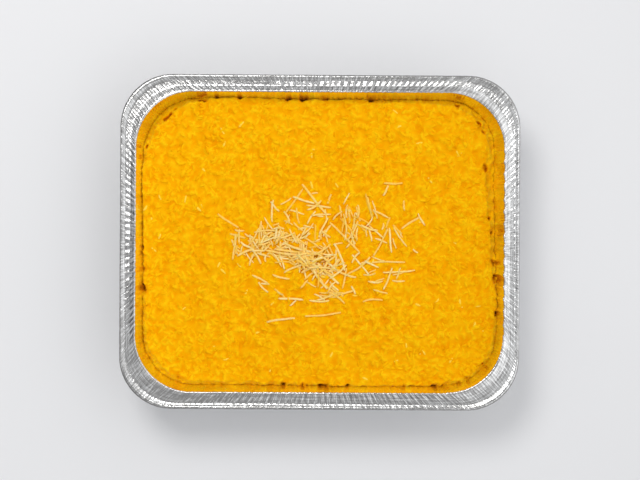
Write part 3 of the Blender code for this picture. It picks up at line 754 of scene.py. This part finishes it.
def make_food(food, creases, finish):
    """The rice as one mass: its surface from the map, and a plain side down to the tray's floor."""
    across = int(MOUTH_LENGTH / MESH_STEP)
    up = int(MOUTH_WIDTH / MESH_STEP)
    u = np.linspace(-1, 1, across)
    v = np.linspace(-1, 1, up)
    # Rows stand closer near the wall, where the bluff is steep
    u, v = (np.sign(t) * (ROW_SHIFT[0] * np.abs(t) - ROW_SHIFT[1] * np.abs(t) ** 3) for t in (u, v))
    grid_u, grid_v = np.meshgrid(u, v)
    flat_u, flat_v = grid_u.ravel(), grid_v.ravel()
    angle = np.arctan2(flat_v * MOUTH_WIDTH, flat_u * MOUTH_LENGTH)
    reach = np.maximum(np.abs(flat_u), np.abs(flat_v))

    # The outermost points are the ring where the surface meets the creased wall
    places = stations(*OUTLINE_STEPS)
    mouth = outline_row(0, places)
    folds = (crease_row(creases, places) + flute_row(places)) * crease_sideways(FOOD_LEVEL) + FOOD_OVERLAP
    spread, level = contact_level(folds, mouth, food)
    ring = mouth[0] + mouth[1] * spread[:, None]
    ring_angle = np.arctan2(ring[:, 1], ring[:, 0])
    order = np.argsort(ring_angle)
    ring_reach = np.hypot(ring[:, 0], ring[:, 1])
    limit = np.interp(angle, ring_angle[order], ring_reach[order], period=2 * math.pi)
    ring_level = np.interp(angle, ring_angle[order], level[order], period=2 * math.pi)

    box_x, box_y = np.cos(angle), np.sin(angle)
    half_x, half_y = MOUTH_LENGTH / 2, MOUTH_WIDTH / 2
    box_reach = 1 / np.maximum(np.abs(box_x) / half_x, np.abs(box_y) / half_y)
    pull = limit / box_reach
    scale = 1 + (pull - 1) * reach**3
    x, y = flat_u * half_x * scale, flat_v * half_y * scale
    z = food.at(x, y)
    on_rim = reach > 0.9999
    z[on_rim] = ring_level[on_rim]
    below = food.at(x, y, food.below)
    # Painted shade: the tone falls in hollows, and deep ones take the crevice's painted shade
    tone = np.clip(0.5 - below / TONE_DEPTH, *TONE_LIMITS)
    tone -= TONE_LIMITS[0] * np.interp(below, CREVICE_DEPTHS, (0, 1))

    points = np.column_stack((x, y, z))
    index = np.arange(across * up).reshape(up, across)
    quads = np.stack((index[:-1, :-1], index[:-1, 1:], index[1:, 1:], index[1:, :-1]), -1)
    faces = quads.reshape(-1, 4).tolist()
    loop = np.concatenate((index[0, :-1], index[:-1, -1], index[-1, :0:-1], index[:0:-1, 0]))
    # Under its edge the mass stands just clear of the wall, down to the floor
    edge = points[loop]
    angle = np.arctan2(edge[:, 1], edge[:, 0])
    count, start = len(loop), len(points)
    wall_top = TRAY_HEIGHT - LIP_DROP
    wide = reach_of(-WALL_CLEAR, angle)
    narrow = reach_of(wall_spread(FOOT_HEIGHT) - WALL_CLEAR, angle)
    level = edge[:, 2] - SIDE_DROP
    upper = np.interp(level, (FOOT_HEIGHT, wall_top), (0, 1))
    reaches = (narrow + (wide - narrow) * upper, narrow, reach_of(wall_spread(FLOOR_GAP) - FLOOR_BEND, angle))
    levels = (level, np.full(count, FOOT_HEIGHT), np.full(count, FLOOR_GAP))
    sides = [np.column_stack((r * np.cos(angle), r * np.sin(angle), h)) for r, h in zip(reaches, levels)]
    points = np.concatenate([points] + sides)
    rings = [loop] + [start + k * count + np.arange(count) for k in range(3)]
    for upper_ring, lower_ring in zip(rings, rings[1:]):
        quads = np.stack((np.roll(upper_ring, -1), upper_ring, lower_ring, np.roll(lower_ring, -1)), 1)
        faces += quads.tolist()
    faces.append(rings[-1][::-1].tolist())
    tone = np.concatenate((tone, np.full(3 * count, SIDE_TONE)))
    return mesh_piece("rice_mass", points, faces, finish, "rice", "rice", tone=tone)


def grain_form(sides, rings):
    """A grain of rice one unit long and across as points from pole to pole, with its faces."""
    points = [(-1.0, 0.0, 0.0)]
    for k in range(1, rings + 1):
        angle = math.pi * k / (rings + 1)
        for s in range(sides):
            turn = 2 * math.pi * s / sides
            ring = math.sin(angle)
            points.append((-math.cos(angle), ring * math.cos(turn), ring * math.sin(turn)))
    points.append((1.0, 0.0, 0.0))
    faces = [(0, 1 + (s + 1) % sides, 1 + s) for s in range(sides)]
    for k in range(rings - 1):
        here, there = 1 + k * sides, 1 + (k + 1) * sides
        for s in range(sides):
            t = (s + 1) % sides
            faces.append((here + s, here + t, there + t, there + s))
    last = len(points) - 1
    faces += [(last, last - sides + s, last - sides + (s + 1) % sides) for s in range(sides)]
    return np.array(points), faces


def make_free_grains(food, grains, finish):
    """The grains that show, lying half in the sauce where their shapes are pressed."""
    draw = random.Random(FOOD_SEED + 3)
    form, form_faces = grain_form(GRAIN_SIDES, GRAIN_RINGS)
    points, faces, tones = [], [], []
    kept = 0
    for x, y, heading, half, breadth in grains:
        if kept == FREE_GRAINS:
            break
        in_from_mouth, slot = mouth_place(np.array([x]), np.array([y]))
        inset = edge_inset(slot, np.array([x]), np.array([y]))
        if in_from_mouth[0] < inset[0] + EDGE_CLEAR:
            continue
        middle = half * np.array((-0.5, 0, 0.5))
        under = food.at(x + middle * math.cos(heading), y + middle * math.sin(heading))
        slope = (under[2] - under[0]) / half
        level = np.sort(under)[1]
        tips = half * np.array((-1, 1))
        tips_in = mouth_place(x + tips * math.cos(heading), y + tips * math.sin(heading))[0]
        if np.any(tips_in < GRAIN_CLEAR - wall_spread(level + slope * tips)):
            continue
        bend = draw.uniform(-GRAIN_BEND, GRAIN_BEND)
        grain = form * (half, breadth, breadth * GRAIN_FLATNESS)
        side = grain[:, 1] + bend * (1 - form[:, 0] ** 2)
        rise = grain[:, 2] + slope * grain[:, 0] + level - breadth * draw.uniform(*GRAIN_SINK)
        turned_x = grain[:, 0] * math.cos(heading) - side * math.sin(heading) + x
        turned_y = grain[:, 0] * math.sin(heading) + side * math.cos(heading) + y
        start = kept * len(form)
        points.append(np.column_stack((turned_x, turned_y, rise)))
        faces += [[start + i for i in face] for face in form_faces]
        # Painted light along each grain's top, and a painted glint on a few grains
        lit_tone = np.clip(draw.gauss(*GRAIN_TONE) + GRAIN_TOP_LIGHT * (form[:, 2] - 0.5), *TONE_LIMITS)
        tones.append(np.ones(len(form)) if draw.random() < GLINT_SHARE else lit_tone)
        kept += 1
    points, tones = np.concatenate(points), np.concatenate(tones)
    return mesh_piece("rice_grains", points, faces, finish, "rice", tone=tones)


def draw_shred(draw, patch):
    """Centre, length, heading, bend and layer of one more shred in a patch, as in the part."""
    x, y, half_length, half_width, tilt, heading, spread, _ = patch
    reach = math.sqrt(draw.random())
    angle = draw.uniform(0, 2 * math.pi)
    along = reach * half_length * math.cos(angle)
    aside = reach * half_width * math.sin(angle)
    tilt = math.radians(tilt)
    return (
        x + along * math.cos(tilt) - aside * math.sin(tilt),
        y + along * math.sin(tilt) + aside * math.cos(tilt),
        draw.uniform(*SHRED_LENGTHS),
        heading + draw.uniform(-spread, spread),
        draw.uniform(-SHRED_BEND, SHRED_BEND),
        draw.choice((0, 1, 1, 2)),
    )


def shred_line(shred):
    """A shred's points in plan, as in the part: its ends and, on a longer one, its middle."""
    x, y, length, heading, bend, _ = shred
    along = Vector((math.cos(math.radians(heading)), math.sin(math.radians(heading))))
    aside = Vector((-along.y, along.x))
    centre = Vector((x, y))
    ends = centre - along * length / 2, centre + along * length / 2
    return ends if length < STRAIGHT_BELOW else (ends[0], centre + aside * bend, ends[1])


def lines_cross(one, other, margin):
    """Whether two shreds' lines come within a margin of each other in plan, as in the part."""
    apart = ((one[0] + one[-1]) / 2 - (other[0] + other[-1]) / 2).length
    if apart > ((one[0] - one[-1]).length + (other[0] - other[-1]).length) / 2 + margin + SHRED_BEND:
        return False
    for start, end in zip(one, one[1:]):
        for k in range(CROSS_STEPS + 1):
            point = start.lerp(end, k / CROSS_STEPS)
            for a, b in zip(other, other[1:]):
                along = b - a
                share = min(1, max(0, (point - a).dot(along) / along.length_squared))
                if (point - a - along * share).length < margin:
                    return True
    return False


def largest_pile(lines):
    """The numbers of the shreds in the largest pile that crossing shreds make, as in the part."""
    left = set(range(len(lines)))
    piles = []
    while left:
        pile, edge = set(), [left.pop()]
        while edge:
            here = edge.pop()
            pile.add(here)
            touching = {k for k in left if lines_cross(lines[here], lines[k], SHRED_WIDTH / 2)}
            left -= touching
            edge += touching
        piles.append(pile)
    return max(piles, key=len)


def shred_layout():
    """Every shred of the part: the lone ones, then each patch's own, laid across the pile if they reach it."""
    draw = random.Random(SHRED_SEED)
    shreds = [(*place, draw.uniform(-SHRED_BEND, SHRED_BEND), 0) for place in LONE_SHREDS]
    lines = [shred_line(shred) for shred in shreds]
    for number, patch in enumerate(PATCHES, 1):
        draw = random.Random(SHRED_SEED + number)
        heap = [lines[k] for k in largest_pile(lines)]
        for _ in range(patch[-1]):
            for _ in range(LAY_TRIES):
                shred = draw_shred(draw, patch)
                line = shred_line(shred)
                if any(lines_cross(line, other, SHRED_WIDTH / 2) for other in heap):
                    heap.append(line)
                    break
            shreds.append(shred)
            lines.append(line)
    return shreds


def fine_shreds():
    """The finer shreds that lie under and between the part's own, patch by patch."""
    shreds = []
    for number, patch in enumerate(FINE_PATCHES, 1):
        draw = random.Random(SHRED_SEED + 100 + number)
        for _ in range(patch[-1]):
            x, y, _, heading, bend, layer = draw_shred(draw, patch)
            shreds.append((x, y, draw.uniform(*FINE_LENGTHS), heading, bend * FINE_BEND, layer))
    return shreds


def lay_strip(food, shred, draw, breadth):
    """Rows of points of one cheese strip, lying on what is under it. The map rises where it lies."""
    x, y, length, heading, bend, _ = shred
    steps = max(LEAST_STEPS, int(length / STRIP_STEP))
    t = np.linspace(-1, 1, steps)
    angle = math.radians(heading)
    along = np.array((math.cos(angle), math.sin(angle)))
    aside = np.array((-along[1], along[0]))
    bow = bend * (1 - t**2)
    line = np.array((x, y)) + np.outer(t * length / 2, along) + np.outer(bow, aside)
    line += np.outer(STRIP_WOBBLE * np.sin(t * draw.uniform(3, 6) + draw.uniform(0, 6)), aside)
    width = SHRED_WIDTH * breadth * draw.uniform(*STRIP_WIDTHS)
    thick = SHRED_THICKNESS * draw.uniform(*STRIP_DEPTHS)
    under = np.maximum.reduce([food.at(*(line + aside * width * s).T) for s in (-0.4, 0, 0.4)])
    # A stiff strip lies on its high points: the straight line over them, with a little sag between
    fit = np.polyfit(t, under, 1)
    chord = np.polyval(fit, t)
    chord += np.percentile(under - chord, 80)
    level = STRIP_STIFF * chord + STRIP_LIMP * np.maximum(under, chord - STRIP_SAG)
    twist = draw.uniform(-STRIP_LEAN, STRIP_LEAN) + draw.uniform(-STRIP_TWIST, STRIP_TWIST) * t
    rows = []
    taper = np.clip(1.15 - np.abs(t) ** 6 * draw.uniform(0.2, 0.7), 0.3, 1)
    for k in range(steps):
        w = width / 2 * taper[k] * draw.uniform(*STRIP_UNEVEN)
        h = thick / 2 * draw.uniform(*STRIP_UNEVEN)
        corners = []
        for a, b in STRIP_SECTION:
            side, rise = a * w, b * h
            turned = side * math.cos(twist[k]) - rise * math.sin(twist[k])
            lifted = side * math.sin(twist[k]) + rise * math.cos(twist[k])
            corners.append((*(line[k] + aside * turned), level[k] + thick / 2 - STRIP_SINK + lifted))
        rows.append(corners)
    for k in range(steps):
        place, across, up = food.window(*line[k], STRIP_STEP)
        near = np.hypot(across, up) < width / 2
        here = food.heights[place]
        here[near] = np.maximum(here[near], level[k] + thick - STRIP_PRESSED)
    return rows


def make_shreds(food, finish):
    """The cheese shreds as one piece, laid one after another so that later ones cross over."""
    draw = random.Random(SHRED_SEED + 9)
    points, faces, tones = [], [], []
    laid = [(shred, FINE_BREADTH) for shred in fine_shreds()]
    laid += [(shred, 1.0) for shred in sorted(shred_layout(), key=lambda s: s[5])]
    for shred, breadth in laid:
        rows = lay_strip(food, shred, draw, breadth)
        start, sides = len(points), len(rows[0])
        points += [p for row in rows for p in row]
        own = min(1.0, max(CLEAN_LEAST, draw.gauss(*CLEAN_SHARES)))
        soaked = noise_at(np.array([row[0] for row in rows]), SOAK_LENGTH, SOAK_SEED)
        # A strip's sides and underside are stained and also painted with orange shade; its top stays pale
        tones += [clean_and_lit * own * min(1.0, 1.1 - 0.6 * max(wet, 0)) for wet in soaked for clean_and_lit in STRIP_CLEAN_AND_LIT]
        for r in range(len(rows) - 1):
            for s in range(sides):
                here, there, after = start + r * sides, start + (r + 1) * sides, (s + 1) % sides
                faces.append([here + s, here + after, there + after, there + s])
        faces.append([start + s for s in range(sides)][::-1])
        faces.append([start + (len(rows) - 1) * sides + s for s in range(sides)])
    return mesh_piece("cheese_strips", points, faces, finish, "cheese", "cheese_shreds", tone=tones)


def make_floor():
    """A plain pale table under the tray."""
    made, tree, shader = material("table")
    plug(tree, shader, (("Base Color", (0.80, 0.80, 0.815, 1)), ("Roughness", 0.9)))
    data = bpy.data.meshes.new("table_top")
    corners = [(x * TABLE_REACH, y * TABLE_REACH, 0) for x, y in ((-1, -1), (1, -1), (1, 1), (-1, 1))]
    data.from_pydata(corners, [], [(0, 1, 2, 3)])
    data.materials.append(made)
    table = bpy.data.objects.new("table_top", data)
    bpy.context.scene.collection.objects.link(table)


def combine(tree, first, second, operation):
    """The result of one sum or product of values."""
    return add_node(tree, "Math", ((0, first), (1, second)), operation=operation).outputs[0]


def make_sky():
    """A soft world: dimmer straight overhead and near the horizon, and darker on the left."""
    world = bpy.data.worlds.new("studio")
    bpy.context.scene.world = world
    world.use_nodes = True
    tree = world.node_tree
    direction = add_node(tree, "TexCoord").outputs["Generated"]
    parts = add_node(tree, "SeparateXYZ", ((0, direction),))
    x, z = parts.outputs[0], parts.outputs[2]
    lean = add_node(tree, "VectorMath", ((0, direction), (1, (LOW_LEAN, 0.0, 0.0))), operation="DOT_PRODUCT")
    low = combine(tree, lean.outputs["Value"], LOW_STRENGTH, "ADD")
    above = add_node(tree, "ValToRGB", ((0, z),))
    stops = above.color_ramp.elements
    for number, (position, strength) in enumerate(SKY_STOPS):
        stop = stops[number] if number < 2 else stops.new(position)
        stop.position, stop.color = position, (strength, strength, strength, 1)
    ends = ((1, -SIDE_REACH), (2, SIDE_REACH), (3, SIDE_STRENGTHS[0]), (4, SIDE_STRENGTHS[1]))
    side = add_node(tree, "MapRange", ((0, x), *ends)).outputs[0]
    spans = add_node(tree, "VectorMath", ((0, direction),), operation="ABSOLUTE").outputs[0]
    spread = add_node(tree, "VectorMath", ((0, spans), (1, SPREAD_GAINS)), operation="DOT_PRODUCT")
    spread = combine(tree, spread.outputs["Value"], 1.0, "ADD")
    upper = combine(tree, combine(tree, above.outputs[0], side, "MULTIPLY"), spread, "MULTIPLY")
    level = mix_values(tree, spread_share(tree, z, *LOW_BLEND), low, upper)
    seen = add_node(tree, "LightPath").outputs["Is Camera Ray"]
    plug(tree, tree.nodes["Background"], (
        ("Strength", mix_values(tree, seen, level, SEEN_STRENGTH)),
        ("Color", (0.98, 0.99, 1.0, 1)),
    ))


def make_lamp():
    """A soft lamp above, a little behind and to the left of the tray."""
    lamp = bpy.data.lights.new("window", "AREA")
    lamp.shape = "DISK"
    lamp.size = LAMP_SIZE
    lamp.energy = LAMP_WATTS
    lamp.color = (1.0, 0.99, 0.97)
    window = bpy.data.objects.new("window", lamp)
    window.location = LAMP_PLACE
    window.rotation_euler = (-window.location).to_track_quat("-Z", "Y").to_euler()
    bpy.context.scene.collection.objects.link(window)


def make_camera():
    """Straight above the tray, as the photograph is taken."""
    data = bpy.data.cameras.new("camera")
    data.sensor_width = 36.0
    data.lens = CAMERA_LENS
    camera = bpy.data.objects.new("camera", data)
    x, y = (shift * (RIM_LENGTH / RIM_PIXELS) for shift in PIXEL_SHIFT)
    camera.location = Vector((x, y, TRAY_HEIGHT + CAMERA_RISE)) * MM
    camera.rotation_euler = (0, 0, math.radians(PHOTO_TURN))
    bpy.context.scene.collection.objects.link(camera)
    bpy.context.scene.camera = camera


def main():
    """Builds the room, then the tray, the rice and the cheese that lies on it."""
    bpy.context.scene.view_settings.view_transform = "Standard"
    make_camera()
    make_sky()
    make_lamp()
    make_floor()
    creases = make_creases()
    make_tray(creases, foil_material())
    food = FoodMap()
    grains = press_grains(food)
    for share in SAUCE_BLURS:
        food.heights = soften(food.heights, share)
    food.find_hollows()
    cut_bluff(food)
    make_food(food, creases, rice_material("rice", 0.2, 0.1))
    make_free_grains(food, grains, rice_material("rice_grain", 0.0, 0.0))
    make_shreds(food, cheese_material())


main()
